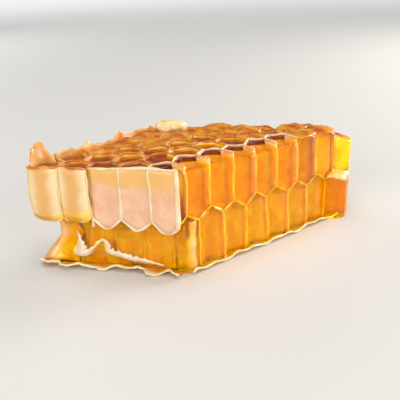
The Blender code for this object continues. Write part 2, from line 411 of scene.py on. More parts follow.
class Finish(NodeMaker):
    # a material and its main shader
    def __init__(self, name):
        self.material = bpy.data.materials.new(name)
        self.material.use_nodes = True
        super().__init__(self.material.node_tree)
        self.shader = self.tree.nodes["Principled BSDF"]

    def set(self, values):
        self.feed(self.shader, values)

    def place(self):
        return self.out(self.add("ShaderNodeTexCoord"), "Object")

    def noise(self, scale, detail=2.0):
        values = {"Vector": self.place(), "Scale": scale, "Detail": detail, "Roughness": 0.5}
        return self.out(self.add("ShaderNodeTexNoise", values=values), "Fac")

    def along(self, direction):
        # how far a place lies along a direction
        values = {0: self.place(), 1: direction}
        return self.out(self.add("ShaderNodeVectorMath", {"operation": "DOT_PRODUCT"}, values), "Value")

    def attribute(self, name):
        return self.out(self.add("ShaderNodeAttribute", {"attribute_name": name}), "Fac")

    def mix(self, share, first, second):
        return self.out(self.add("ShaderNodeMix", {"data_type": "RGBA"}, {0: share, 6: first, 7: second}), 2)

    def bump(self, height, strength, distance):
        values = {"Height": height, "Strength": strength, "Distance": distance}
        self.set({"Normal": self.out(self.add("ShaderNodeBump", values=values), "Normal")})


def rgb(red, green, blue):
    # 0 to 255 as seen, to the linear values that shaders use
    def linear(value):
        share = value / 255
        return share / 12.92 if share <= 0.04045 else ((share + 0.055) / 1.055) ** 2.4

    return (linear(red), linear(green), linear(blue), 1.0)


# Materials

honeyLook = {
    "refraction": 1.48,
    "roughness": 0.04,
    "absorptionColour": (0.9972, 0.9770, 0.0, 1.0),
    "absorptionDensity": 2000.0,
    "tint": (1.0, 0.90, 0.62, 1.0),
    "glint": (1.0, 0.90, 0.50, 1.0),
    "waveScale": 240.0,
    "waveStrength": 0.06,
    "waveDepth": 0.0004,
}


def honeyFinish():
    # clear and amber; its shadow is only tinted, so that light reaches the wax behind it
    finish = Finish("honey")
    finish.set({
        "Base Color": (1.0, 1.0, 1.0, 1.0),
        "Roughness": honeyLook["roughness"],
        "IOR": honeyLook["refraction"],
        "Transmission Weight": 1.0,
        "Specular Tint": honeyLook["glint"],
    })
    finish.bump(finish.noise(honeyLook["waveScale"]), honeyLook["waveStrength"], honeyLook["waveDepth"])
    absorption = finish.add("ShaderNodeVolumeAbsorption", values={
        "Color": honeyLook["absorptionColour"],
        "Density": honeyLook["absorptionDensity"],
    })
    clear = finish.add("ShaderNodeBsdfTransparent", values={"Color": honeyLook["tint"]})
    isShadow = finish.out(finish.add("ShaderNodeLightPath"), "Is Shadow Ray")
    surfaces = {0: isShadow, 1: finish.out(finish.shader), 2: finish.out(clear)}
    mixed = finish.add("ShaderNodeMixShader", values=surfaces)
    finish.feed(finish.tree.nodes["Material Output"], {
        "Surface": finish.out(mixed),
        "Volume": finish.out(absorption),
    })
    return finish.material


waxLook = {
    "refraction": 1.44,
    "glowColour": (1.0, 0.6, 0.35),
    "coatRoughness": 0.12,
    "patchScale": 420.0,
    "bandScale": 190.0,
    "bandWander": 6.0,
    "edgeScale": 500.0,
    "edgeWander": 0.5,
    "edgeRange": (0.45, 0.85),
    "grainScale": 1500.0,
    "grainStrength": 0.35,
    "grainDepth": 0.0003,
}


def waxShader(finish, colour, roughness, glow, depth, wet, grain):
    # what all the wax shares: light that sinks in a little, a wet coat and a fine grain
    finish.set({
        "Base Color": colour,
        "Roughness": roughness,
        "IOR": waxLook["refraction"],
        "Subsurface Weight": glow,
        "Subsurface Radius": waxLook["glowColour"],
        "Subsurface Scale": depth * mm,
        "Coat Weight": wet,
        "Coat Roughness": waxLook["coatRoughness"],
    })
    finish.bump(finish.noise(grain, 3.0), waxLook["grainStrength"], waxLook["grainDepth"])
    return finish.material


def waxFinish(name, pale, deep, share=0.5, spread=0.18, roughness=0.4, glow=0.5, depth=0.45, wet=0.4,
              band=None, edge=None):
    # patches of two colours, with a third above a height or towards an outer edge
    finish = Finish(name)
    patch = finish.noise(waxLook["patchScale"], 3.0).ramp(share - spread, share + spread)
    colour = finish.mix(patch, pale, deep)
    if band:
        start, end, shade = band
        height = finish.out(finish.add("ShaderNodeSeparateXYZ", values={"Vector": finish.place()}), "Z")
        height = height + (finish.noise(waxLook["bandScale"]) - 0.5) * (waxLook["bandWander"] * mm)
        colour = finish.mix(height.ramp(start * mm, end * mm), colour, shade)
    if edge:
        wander = (finish.noise(waxLook["edgeScale"]) - 0.5) * waxLook["edgeWander"]
        outward = finish.attribute("outward") + wander
        colour = finish.mix(outward.ramp(*waxLook["edgeRange"]), colour, edge)
    return waxShader(finish, colour, roughness, glow, depth, wet, waxLook["grainScale"])


barrelLook = {
    "edge": rgb(254, 224, 172),
    "middle": rgb(236, 180, 106),
    "shift": 0.1,
    "range": (0.1, 0.95),
    "patchScale": 300.0,
    "patchSize": 0.9,
    "roughness": 0.4,
    "glow": 0.4,
    "depth": 0.4,
    "wet": 0.4,
    "grainScale": 1300.0,
}


def barrelFinish(name):
    # each whole cell is pale at its sides and amber along its middle
    finish = Finish(name)
    start = upperCentre(0, 0).dot(heading(rowAngle)) * mm
    across = finish.along(heading(rowAngle)) - start + barrelLook["shift"] * apothem * mm
    turns = across * (1 / (pitch * mm)) + 20.5  # whole turns keep it above zero
    fromMiddle = finish.out(finish.add("ShaderNodeMath", {"operation": "FRACT"}, {0: turns})) - 0.5
    away = finish.out(finish.add("ShaderNodeMath", {"operation": "ABSOLUTE"}, {0: fromMiddle})) * 2
    patch = (finish.noise(barrelLook["patchScale"], 3.0) - 0.5) * barrelLook["patchSize"]
    colour = finish.mix((away + patch).ramp(*barrelLook["range"]), barrelLook["middle"], barrelLook["edge"])
    return waxShader(finish, colour, barrelLook["roughness"], barrelLook["glow"], barrelLook["depth"],
                     barrelLook["wet"], barrelLook["grainScale"])


honey = honeyFinish()
innerWax = waxFinish("innerWax", rgb(252, 214, 136), rgb(246, 188, 92))
rimWax = waxFinish("rimWax", rgb(236, 160, 58), rgb(198, 104, 16), share=0.45, wet=0.35)
beigeWax = barrelFinish("beigeWax")
backWax = waxFinish("backWax", rgb(255, 212, 132), rgb(246, 178, 78), share=0.45, spread=0.4, wet=0.7)
beigeEdge = waxFinish("beigeEdge", rgb(255, 224, 166), rgb(250, 206, 136), wet=0.6)
pinkWax = waxFinish("pinkWax", rgb(250, 200, 162), rgb(240, 184, 144), depth=0.6,
                    band=(14.0, 16.2, rgb(244, 188, 108)))
flareWax = waxFinish("flareWax", rgb(255, 206, 132), rgb(250, 178, 88), wet=0.7, glow=0.3, depth=0.4)
creamWax = waxFinish("creamWax", rgb(255, 234, 184), rgb(253, 216, 150), wet=0.6)
frameWax = waxFinish("frameWax", rgb(255, 230, 200), rgb(252, 208, 160), wet=0.6)
tornWax = waxFinish("tornWax", rgb(248, 200, 128), rgb(230, 158, 66), wet=0.6)
capWax = waxFinish("capWax", rgb(244, 164, 24), rgb(184, 78, 2), glow=0.3, wet=0.35)
ribbonWax = waxFinish("ribbonWax", rgb(255, 240, 222), rgb(255, 222, 184), wet=0.9, roughness=0.3)
skirtWax = waxFinish("skirtWax", rgb(240, 160, 52), rgb(226, 126, 20), wet=0.9, edge=rgb(254, 222, 170))
glowWax = waxFinish("glowWax", rgb(255, 210, 184), rgb(252, 184, 132), wet=0.5, glow=0.2, depth=0.3)
arcWax = waxFinish("arcWax", rgb(250, 206, 160), rgb(238, 170, 104), wet=0.8)
# dark lining wax: painted shade inside the open mouths of the cut row
mouthShadeWax = waxFinish("mouthShadeWax", rgb(128, 44, 22), rgb(96, 28, 14), glow=0.1, roughness=0.3, wet=0.8)
# orange-brown lining wax: painted shade inside a few open mouths
warmShadeWax = waxFinish("warmShadeWax", rgb(206, 104, 12), rgb(170, 72, 4), glow=0.3, depth=0.3)
print("materials made")


# Honey

honeyFill = {
    "sides": 24,
    "rings": 10,
    "apothem": 2.78,
    "rounding": 0.03,
    "barrel": 0.035,
    "baseLap": 0.12,
    "edgeRise": 0.14,
    "openLevel": 0.38,
    "levelRange": (0.5, 1.6),
    "cappedLevel": 0.35,
    "voxel": 0.30,
    "softening": 3,
}


def columnTree(name):
    # one column on each point, with the point's number kept on its vertices
    tree = bpy.data.node_groups.new(name, "GeometryNodeTree")
    face = tree.interface
    face.new_socket("Geometry", in_out="INPUT", socket_type="NodeSocketGeometry")
    names = {}
    for label, kind in (("Sides", "Int"), ("Rings", "Int"), ("Radius", "Float"), ("Height", "Float"),
                        ("Material", "Material")):
        made = face.new_socket(label, in_out="INPUT", socket_type="NodeSocket" + kind)
        names[label] = made.identifier
    face.new_socket("Geometry", in_out="OUTPUT", socket_type="NodeSocketGeometry")
    maker = NodeMaker(tree)
    start = maker.add("NodeGroupInput")
    number = maker.add("GeometryNodeInputIndex")
    points = maker.add("GeometryNodeStoreNamedAttribute", {"data_type": "INT", "domain": "POINT"}, {
        "Geometry": maker.out(start, "Geometry"),
        "Name": "cell",
        "Value": maker.out(number),
    })
    column = maker.add("GeometryNodeMeshCylinder", {"fill_type": "TRIANGLE_FAN"}, {
        "Vertices": maker.out(start, "Sides"),
        "Side Segments": maker.out(start, "Rings"),
        "Radius": maker.out(start, "Radius"),
        "Depth": maker.out(start, "Height"),
    })
    placed = maker.add("GeometryNodeInstanceOnPoints", values={
        "Points": maker.out(points),
        "Instance": maker.out(column, "Mesh"),
    })
    joined = maker.add("GeometryNodeRealizeInstances", values={0: maker.out(placed)})
    painted = maker.add("GeometryNodeSetMaterial", values={
        "Geometry": maker.out(joined),
        "Material": maker.out(start, "Material"),
    })
    maker.add("NodeGroupOutput", values={0: maker.out(painted)})
    return tree, names


def columnsOn(cells, upper, name):
    points = bpy.data.meshes.new(name + "Points")
    points.from_pydata([centreOf(cell, upper) for cell in cells], [], [])
    obj = newObject(name, points)
    tree, names = columnTree(name + "Tree")
    modifier = obj.modifiers.new("columns", "NODES")
    modifier.node_group = tree
    modifier[names["Sides"]] = honeyFill["sides"]
    modifier[names["Rings"]] = honeyFill["rings"]
    modifier[names["Radius"]] = side
    modifier[names["Height"]] = 1.0
    modifier[names["Material"]] = honey
    mesh = plainMesh(obj, name)
    bpy.data.objects.remove(obj, do_unlink=True)
    return mesh


def isRimCell(cell, upper):
    return any(neighbour(cell, n) not in cellSet[upper] for n in range(6))


def honeyLevel(cell, upper):
    # where the open end of a cell's honey stands
    level = honeyFill["cappedLevel"]
    if not isCapped(cell):
        level = honeyFill["openLevel"] * draw.uniform(*honeyFill["levelRange"])
    if cell in mouths["cutCells"]:
        level = mouths["cutLevel"]
    return mouthHeight(cell, True) - level if upper else 0.0


def honeyColumns(bm, cells, upper):
    # the plain columns take the shape of the cells that they fill
    mesh = columnsOn(cells, upper, layerName(upper) + "Honey")
    numbers = mesh.attributes["cell"].data
    levels = {cell: honeyLevel(cell, upper) for cell in cells}
    verts = []
    for vert in mesh.vertices:
        cell = cells[numbers[vert.index].value]
        centre = centreOf(cell, upper)
        local = Vector((vert.co.x - centre.x, vert.co.y - centre.y, 0))
        share = vert.co.z + 0.5 if upper else 0.5 - vert.co.z
        high = levels[cell]
        if local.length > 0.1:
            angle = math.atan2(local.y, local.x)
            radius = hexRadius(angle, honeyFill["apothem"], honeyFill["rounding"])
            if isRimCell(cell, upper):
                radius *= 1 + honeyFill["barrel"] * math.sin(math.pi * min(max(share, 0), 1))
            local = cutBack(heading(angle) * radius, unevenCuts(cell, upper))
            high += honeyFill["edgeRise"] if upper else 0.0
        low = baseHeight(local, upper) - (honeyFill["baseLap"] if upper else -honeyFill["baseLap"])
        verts.append(bm.verts.new(placeIn(centre, local, low + (high - low) * share)))
    for polygon in mesh.polygons:
        bm.faces.new([verts[index] for index in polygon.vertices])
    bpy.data.meshes.remove(mesh)


honeyRuns = {
    # cell of the cut row, how far along it, height of the middle, width, length
    "right": ((0, -0.3, 8.3, 1.5, 3.4), (1, 0.6, 7.9, 1.1, 2.4), (3, -0.2, 7.6, 1.6, 4.2),
              (4, 0.9, 8.2, 1.0, 2.0), (6, 0.1, 7.8, 1.3, 3.0)),
    "rightOut": 0.42,
    "rightDepth": 0.9,
    # how far along the near left face, how far out, height of the middle, width, length
    "left": ((-5.6, 0.9, 6.9, 1.5, 3.0), (-0.4, 1.0, 7.2, 1.3, 2.6), (5.2, 0.9, 7.0, 1.7, 3.2)),
    "leftDepth": 1.0,
    "power": 0.8,
    "ripple": 0.15,
    "rippleLength": 2.4,
    # the thick run over the lower cells of the near left face
    "drapeSize": (23.5, 3.2, 9.4),
    "drapeHeight": 4.9,
    "drapeAlong": 0.1,
    "drapeSunk": 0.55,
    "drapePower": 0.6,
    "drapeRipple": 0.5,
}


def addBlob(bm, size, turn, place, power=honeyRuns["power"], ripple=honeyRuns["ripple"]):
    # a rounded box; a lower power gives a squarer one
    made = bmesh.ops.create_uvsphere(bm, u_segments=28, v_segments=14, radius=0.5)["verts"]
    rotation = Matrix.Rotation(turn, 3, "Z")
    for vert in made:
        co = Vector([math.copysign(abs(2 * value) ** power, value) / 2 * length
                     for value, length in zip(vert.co, size)])
        co += noise.noise_vector(co / honeyRuns["rippleLength"]) * ripple
        vert.co = warp(rotation @ co + place)


def addRuns(bm):
    # honey that has run down over the cuts
    for column, along, height, width, length in honeyRuns["right"]:
        place = lowerCentre(nearRow, column) + heading(columnAngle) * along
        place += rightFacing * honeyRuns["rightOut"] + Vector((0, 0, height))
        addBlob(bm, (width, honeyRuns["rightDepth"], length), columnAngle, place)
    for along, out, height, width, length in honeyRuns["left"]:
        place = leftFoot + heading(rowAngle) * along + leftFacing * out
        addBlob(bm, (width, honeyRuns["leftDepth"], length), rowAngle, place + Vector((0, 0, height)))
    place = leftFoot - alongRow * honeyRuns["drapeAlong"] - leftFacing * honeyRuns["drapeSunk"]
    place += Vector((0, 0, honeyRuns["drapeHeight"]))
    addBlob(bm, honeyRuns["drapeSize"], rowAngle, place, honeyRuns["drapePower"], honeyRuns["drapeRipple"])


def buildHoney():
    bm = bmesh.new()
    honeyColumns(bm, upperCells, True)
    honeyColumns(bm, lowerCells, False)
    addRuns(bm)
    obj = newObject("honeyFill", meshFromBmesh(bm, "honeyFill"))
    remesh = obj.modifiers.new("blend", "REMESH")
    remesh.mode = "VOXEL"
    remesh.voxel_size = honeyFill["voxel"] * mm
    remesh.use_smooth_shade = True
    soften = obj.modifiers.new("soften", "SMOOTH")
    soften.factor = 0.5
    soften.iterations = honeyFill["softening"]
    obj = bake(obj, "honeyFill")
    obj.data.materials.clear()
    obj.data.materials.append(honey)
    return obj


# Wax walls

waxWalls = {
    "thickness": 0.30,
    "along": 4,
    "upward": 8,
    "midribSteps": 4,
    "behindCut": 0.08,
    "drowned": 1.3,
    "shortest": 0.03,
    "bulge": 0.32,
    "outerWobble": 0.6,
    "softening": 2,
    # sizes of unevenness, and the lengths over which they change
    "wobble": (0.18, 2.4),
    "cutWander": (0.14, 3.1),
    "mouthWobble": (0.28, 1.7),
    # radii of rounded edges, and their unevenness
    "mouthRims": (0.23, 0.6),
    "cutRims": (0.22, 0.7),
    "cellEdges": (0.20, 0.8),
}
wholeFoot = {
    "hang": 1.9,
    "lift": 0.5,
    "proud": 0.12,
    "tuck": 0.55,
    "tuckedShare": 2.2,
}


def uneven(place, size, length):
    return size * noise.noise(place / length)


def crumpled(place, size=1.0):
    # thin wax is never quite flat
    wobble, length = waxWalls["wobble"]
    return place + noise.noise_vector(place / length + Vector((7, 3, 5))) * wobble * size


def wallEnds(number):
    # the two corners of the wall that faces neighbour number, seen from the cell's axis
    angle = rowAngle + number * sixth
    return heading(angle - sixth / 2) * side, heading(angle + sixth / 2) * side


def clipWall(start, end, cuts, upper, centre, inside):
    # the part of a wall that stands behind the knife cuts, or None
    low, high = 0.0, 1.0
    for facing, offset, _ in cuts:
        drowned = inside and not upper and facing is leftFacing
        limit = offset - waxWalls["drowned" if drowned else "behindCut"]
        limit += uneven(centre + start, *waxWalls["cutWander"])
        a, b = start.dot(facing) - limit, end.dot(facing) - limit
        if a > 0 and b > 0:
            return None
        if a > 0:
            low = max(low, a / (a - b))
        elif b > 0:
            high = min(high, a / (a - b))
    if high - low < waxWalls["shortest"]:
        return None
    return start.lerp(end, low), start.lerp(end, high)


def isOuterWallKept(cell, upper, number):
    # outside walls stay on the broken sides and on the two whole cells at the left
    out = heading(rowAngle + number * sixth)
    row, column = cell
    towardsLeft, towardsRight = out.dot(leftFacing) > 0.3, out.dot(rightFacing) > 0.3
    if row == nearRow and towardsRight and column < lastColumn(upper):
        return False
    if column == 0 and towardsLeft:
        return upper and cell in comb["wholeCells"]
    if row == nearRow and column == lastColumn(upper):
        return not upper and not towardsRight
    return True


def wallGrid(cell, upper, start, end, bulge, whole):
    # places on a wall, from the blind end of its cell to the mouth
    centre = centreOf(cell, upper)
    out = Vector((end.y - start.y, start.x - end.x, 0)).normalized()
    if out.dot(start + end) < 0:
        out = -out

    def placeAt(up, along):
        local = start.lerp(end, along)
        low = baseHeight(local, upper)
        if whole:
            # the foot of a whole cell at the left hangs in a curve
            across = leftFacing.cross(local).z / apothem
            low -= wholeFoot["hang"] * max(1 - across * across, 0) - wholeFoot["lift"]
        z = low + (mouthHeight(cell, upper) - low) * up
        swell = math.sin(math.pi * min(up * 0.92 + 0.04, 1)) * (1 - (2 * along - 1) ** 4)
        local = local + out * bulge * swell
        if whole:
            tuck = wholeFoot["tuck"] * (1 - min(up * wholeFoot["tuckedShare"], 1)) ** 2
            local = cutBack(local, cutsOf(cell, upper), wholeFoot["proud"] - tuck)
        place = crumpled(placeIn(centre, local, z), 1.0 if bulge == 0 else waxWalls["outerWobble"])
        if up == 1 and upper:
            place.z += uneven(place, *waxWalls["mouthWobble"])
        return place

    return gridOf(waxWalls["upward"], waxWalls["along"], placeAt)


def cornerKey(point):
    return (round(point.x * 20), round(point.y * 20))


def addMidrib(bm, cells, upper):
    # the three rhombs at the blind end of each cell
    first = cornerAngle if upper else cornerAngle + sixth
    done = set()
    for cell in cells:
        centre = centreOf(cell, upper)
        cuts = cutsOf(cell, upper)
        for turn in range(3):
            angle = first + turn * 2 * sixth
            left, right = heading(angle - sixth) * side, heading(angle + sixth) * side
            key = cornerKey(centre + heading(angle) * side / 2)
            if key in done:
                continue
            done.add(key)

            def placeAt(up, along):
                local = cutBack(left * up + right * along, cuts, -waxWalls["behindCut"], False)
                return crumpled(placeIn(centre, local, baseHeight(local, upper)))

            addSheet(bm, gridOf(waxWalls["midribSteps"], waxWalls["midribSteps"], placeAt))


def wholeEdges(grid, clipped):
    # the foot of a whole cell's wall, and the sides that don't touch a cut
    sides = [[line[0] for line in grid], [line[-1] for line in grid]]
    return [line for line, corner in zip(sides, clipped) if corner.dot(leftFacing) < side * 0.8] + [grid[0]]


def buildWalls():
    inner, outer, front = bmesh.new(), bmesh.new(), bmesh.new()
    rims, cutRims, edges = [], [], []
    cutReach = upperCentre(nearRow, 0).dot(rightFacing) - apothem * 0.97
    for upper, cells in ((True, upperCells), (False, lowerCells)):
        done = set()
        for cell, number in [(cell, number) for cell in cells for number in range(6)]:
            centre = centreOf(cell, upper)
            start, end = wallEnds(number)
            key = tuple(sorted((cornerKey(centre + start), cornerKey(centre + end))))
            inside = neighbour(cell, number) in cellSet[upper]
            if key in done or not (inside or isOuterWallKept(cell, upper, number)):
                continue
            done.add(key)
            facing = heading(rowAngle + number * sixth)
            whole = upper and cell in comb["wholeCells"] and not inside and facing.dot(backFacing) < 0.6
            clipped = clipWall(start, end, [] if whole else cutsOf(cell, upper), upper, centre, inside)
            if not clipped:
                continue
            grid = wallGrid(cell, upper, *clipped, 0.0 if inside else waxWalls["bulge"], whole)
            addSheet(inner if inside else front if whole else outer, grid)
            if upper:
                isCut = (centre + (start + end) / 2).dot(rightFacing) > cutReach
                (cutRims if isCut else rims).append(grid[-1])
            if whole:
                edges += wholeEdges(grid, clipped)
        addMidrib(inner, cells, upper)
    return [
        thickened(inner, "combWalls", innerWax, waxWalls["thickness"], waxWalls["softening"]),
        thickened(outer, "outerWalls", backWax, waxWalls["thickness"]),
        thickened(front, "wholeCells", beigeWax, waxWalls["thickness"]),
        beads("mouthRims", rims, rimWax, *waxWalls["mouthRims"]),
        beads("cutRims", cutRims, arcWax, *waxWalls["cutRims"]),
        beads("cellEdges", edges, beigeEdge, *waxWalls["cellEdges"]),
    ]


backings = {
    # cell, depth behind the cut, curve, shares of the cell's height, and reach across it
    "cells": (
        ((4, 0), 1.5, 0.3, (0.03, 0.95), (0.2, 2.6)),
        ((4, 7), 1.7, 0.5, (0.02, 0.97), (-2.6, 2.6)),
        ((4, 8), 0.0, 0.6, (0.04, 0.97), (-2.6, 2.6)),
    ),
    "halfWidth": 2.7,
    "crumple": 2.0,
}


def buildBackings():
    # pale wax just under the honey brightens some of the cut cells
    bm = bmesh.new()
    for cell, depth, curve, (low, high), (start, end) in backings["cells"]:
        def placeAt(up, along):
            across = start + (end - start) * along
            out = knife["upperRight"] - depth - curve * (across / backings["halfWidth"]) ** 2
            local = heading(columnAngle) * across + rightFacing * out
            foot = baseHeight(local, True)
            z = foot + (mouthHeight(cell, True) - foot) * (low + (high - low) * up)
            return crumpled(placeIn(upperCentre(*cell), local, z), backings["crumple"])

        addSheet(bm, gridOf(8, 6, placeAt))
    return thickened(bm, "paleBackings", glowWax, waxWalls["thickness"], 1)


# open mouths: the cut row's honey stands lower, and lining sheets paint the shade inside some mouths
mouths = {
    "cutCells": {(4, column) for column in range(6)},
    "warmShadeCells": {(2, 0), (3, 0), (3, 1)},
    "cutLevel": 0.85,
    "start": 0.12,
    "depth": 1.3,
    "inset": 0.24,
    "rounding": 0.05,
    "halfTurn": 62.0,
    "behindCut": 0.1,
    "thickness": 0.12,
}


def buildShadeLinings(name, cells, material):
    # sheets of dark wax inside open mouths, on the side that faces the near corner: painted shade where the
    # mouths fall into shadow
    bm = bmesh.new()
    for cell in sorted(cells):
        def placeAt(down, along):
            angle = columnAngle + quarter + math.radians(mouths["halfTurn"] * (2 * along - 1))
            local = heading(angle) * hexRadius(angle, apothem - mouths["inset"], mouths["rounding"])
            local = cutBack(local, cutsOf(cell, True), -mouths["behindCut"], False)
            z = top - mouths["start"] - mouths["depth"] * down
            return crumpled(placeIn(upperCentre(*cell), local, z))

        addSheet(bm, gridOf(4, 18, placeAt))
    return thickened(bm, name, material, mouths["thickness"])


# Cut cells with dry wax in front

dryCells = {
    "cells": ((2, 0), (3, 0), (4, 0)),
    "depth": 0.18,
    "hollow": 0.12,
    "thickness": 0.30,
    "mouthDepth": 0.25,
    "point": 0.75,
    "cornerReach": 1.8,
    # radii of rounded edges, and their unevenness
    "frames": (0.24, 0.9),
    "cornerEdge": (0.38, 0.7),
    # how far the frames stand out, and how far they hang below the wax
    "footOut": 0.22,
    "sideOut": 0.20,
    "topOut": 0.10,
    "cornerOut": 0.05,
    "footDrop": 0.1,
    "dropOut": 0.34,
}


def facePlace(cell, across, share, depth, drop=0.0):
    # a place on the near left cut of an upper cell: across its width, and from its point to its mouth
    local = heading(rowAngle) * across + leftFacing * (knife["upperLeft"] + depth)
    low = baseHeight(local, True) - drop - dryCells["point"] * (1 - abs(across) / apothem)
    high = top - dryCells["mouthDepth"]
    return crumpled(placeIn(upperCentre(*cell), local, low + (high - low) * share), 0.8)


def buildDryCells():
    bm = bmesh.new()
    frames, corner = [], []
    for cell in dryCells["cells"]:
        right = dryCells["cornerReach"] if cell[0] == nearRow else apothem

        def placeAt(up, along):
            hollow = dryCells["hollow"] * math.sin(math.pi * along) * math.sin(math.pi * up)
            return facePlace(cell, -apothem + (apothem + right) * along, up, dryCells["depth"] - hollow)

        def edge(share, count, depth, drop=0.0):
            reach = apothem + right
            return [facePlace(cell, t * reach - apothem, share, depth, drop) for t in shares(count)]

        addSheet(bm, gridOf(12, 8, placeAt))
        frames.append(edge(0, 8, dryCells["footOut"], dryCells["footDrop"]))
        frames.append([facePlace(cell, -apothem, t, dryCells["sideOut"]) for t in shares(6)])
        if cell == dryCells["cells"][0]:
            # a drop of wax below the first dry cell; its pale colour is a painted highlight
            frames.append([facePlace(cell, -apothem, 0.04 - t * 2 / 9, dryCells["dropOut"] + t / 10)
                           for t in shares(4)])
        if cell[0] == nearRow:
            corner = [facePlace(cell, right, t, dryCells["cornerOut"], dryCells["footDrop"])
                      for t in shares(6)]
        frames.append(edge(1, 6, dryCells["topOut"]))
    return [
        thickened(bm, "dryCells", pinkWax, dryCells["thickness"]),
        beads("dryCellFrames", frames, frameWax, *dryCells["frames"]),
        beads("cornerEdge", [corner], frameWax, *dryCells["cornerEdge"]),
    ]


footSkin = {
    "height": 8.6,
    "lowest": 0.3,
    "width": 5.4,
    "narrowing": 0.35,
    "wander": 1.6,
    "overlap": 0.2,
    "proud": 0.45,
    "sunk": 1.5,
    "turnedEdge": 0.5,
    "thickness": 0.3,
    "crumple": 1.6,
}


def buildFootSkin():
    # pale wax that wraps the flared foot at the left end and sinks into the honey beside it
    fall = footSkin["proud"] + footSkin["sunk"]

    def placeAt(up, along):
        width = footSkin["width"] * (1 - footSkin["narrowing"] * up)
        width += footSkin["wander"] * noise.noise(Vector((up * 4, 3, 1)))
        across = along * width - apothem - footSkin["overlap"]
        out = footSkin["proud"] - fall * along ** 1.5 - footSkin["turnedEdge"] * (1 - along) ** 6
        local = heading(rowAngle) * across + leftFacing * out
        z = footSkin["lowest"] + footSkin["height"] * up
        return crumpled(placeIn(lowerCentre(0, 0), local, z), footSkin["crumple"])

    return sheetPiece("flareSkin", gridOf(18, 14, placeAt), flareWax, footSkin["thickness"])


strip = {
    "high": 9.3,
    "height": 8.7,
    "along": 1.0,
    "halfWidth": 0.75,
    "wander": 0.3,
    "proud": 0.5,
    "curve": 0.8,
    "thickness": 0.24,
    "crumple": 2.2,
}


def buildCornerStrip():
    # the pale wall that runs down the near corner, just round it
    def placeAt(down, along):
        across = 2 * along - 1
        width = strip["halfWidth"] + strip["wander"] * noise.noise(Vector((down * 16 / 3, 1, 4)))
        local = heading(columnAngle) * (strip["along"] + across * width)
        local += rightFacing * (strip["proud"] - strip["curve"] * across * across)
        z = strip["high"] - strip["height"] * down
        return crumpled(placeIn(lowerCentre(nearRow, 0), local, z), strip["crumple"])

    return sheetPiece("cornerStrip", gridOf(16, 6, placeAt), flareWax, strip["thickness"])


# Wax caps and torn wax

caps = {
    "start": 2,  # the least by which a capped cell's column is above its row
    "openEvery": 5,
    "rings": 6,
    "sides": 24,
    "rounding": 0.02,
    "sunk": 0.1,
    "rise": 0.55,
    "coarse": (0.34, 1.1),
    "fine": (0.2, 0.5),
    "thickness": 0.3,
}


def isCapped(cell):
    row, column = cell
    if cell in mouths["cutCells"] or column - row < caps["start"]:
        return False
    return (row + 2 * column) % caps["openEvery"] != 0


def capPlace(cell, share, angle):
    # share runs from the middle of the cap to its edge
    centre = upperCentre(*cell)
    local = heading(angle) * hexRadius(angle, apothem, caps["rounding"]) * share
    local = cutBack(local, cutsOf(cell, True))
    dome = caps["rise"] * (1 - share ** 3) * (0.6 + 0.5 * noise.noise(centre))
    rough = uneven(centre + local, *caps["coarse"]) + uneven(centre + local, *caps["fine"])
    return placeIn(centre, local, mouthHeight(cell, True) - caps["sunk"] + dome + rough)


def addCap(bm, cell):
    angles = [cornerAngle + step * 2 * math.pi / caps["sides"] for step in range(caps["sides"])]
    middle = bm.verts.new(capPlace(cell, 0, angles[0]))
    rings = [[bm.verts.new(capPlace(cell, share, angle)) for angle in angles]
             for share in shares(caps["rings"])[1:]]
    for a, b in zip(rings[0], rings[0][1:] + rings[0][:1]):
        bm.faces.new((middle, a, b))
    for inner, outer in zip(rings, rings[1:]):
        for a, b, c, d in zip(inner, outer, outer[1:] + outer[:1], inner[1:] + inner[:1]):
            bm.faces.new((a, b, c, d))


def buildCaps():
    bm = bmesh.new()
    for cell in upperCells:
        if isCapped(cell):
            addCap(bm, cell)
    return thickened(bm, "waxCaps", capWax, caps["thickness"])


torn = {"foot": 1.2, "behind": 0.8, "thickness": 0.42}
curl = {
    "height": 5.2,
    "lowest": 0.14,
    "lobes": ((0.95, -0.34, 0.32), (1.0, 0.12, 0.32)),  # height, place across, spread
    "slope": 0.3,
    "width": 5.0,
    "narrowing": 1.2,
    "lean": 1.9,
    "cup": 5.0,
    "crumple": 1.8,
}
ridge = {
    "firstColumn": 0.5,
    "columns": 4.9,
    "steps": 110,
    "behind": 0.86,
    "rise": 0.9,
    "coarse": 1.1,
    "fine": 0.6,
    "least": 0.1,
    "scallop": 0.42,
    "sway": 0.5,
    "crumple": 1.6,
}


def curlPlace(up, along):
    # a curl of wall that stands at the far left corner
    across = along - 0.5
    lobes = sum(size * math.exp(-(((across - at) / spread) ** 2)) for size, at, spread in curl["lobes"])
    tall = curl["height"] * (curl["lowest"] + (1 - curl["lowest"]) * min(lobes, 1))
    ragged = 0.5 * noise.noise(Vector((across * 6, 0.3, 1)))
    ragged += 0.7 * noise.noise(Vector((across * 2.6, 7.3, 4)))
    out = curl["lean"] * up * up - curl["cup"] * across * across - up
    place = upperCentre(0, 0) + backFacing * (apothem * torn["behind"] + out)
    place += heading(columnAngle) * across * (curl["width"] - curl["narrowing"] * up)
    place.z = top - torn["foot"] + up * (tall * (0.92 + curl["slope"] * across) + ragged)
    return crumpled(warp(place), curl["crumple"])


def ridgePlace(up, along):
    # a ragged ridge along the broken edge behind
    column = ridge["firstColumn"] + ridge["columns"] * along
    rise = ridge["rise"] + ridge["coarse"] * noise.noise(Vector((column * 1.5, 4, 2)))
    rise += ridge["fine"] * noise.noise(Vector((column * 5, 1, 7)))
    scallop = ridge["scallop"] * math.cos(column * 2 * math.pi)
    sway = ridge["sway"] * up * math.sin(column * 4)
    place = upperCentre(0, column) + backFacing * (apothem * ridge["behind"] + scallop + sway)
    place.z = top - torn["foot"] + up * (torn["foot"] + max(rise, ridge["least"]))
    return crumpled(warp(place), ridge["crumple"])


def buildTornWalls():
    bm = bmesh.new()
    addSheet(bm, gridOf(14, 14, curlPlace))
    addSheet(bm, gridOf(7, ridge["steps"], ridgePlace))
    return thickened(bm, "tornWalls", tornWax, torn["thickness"])


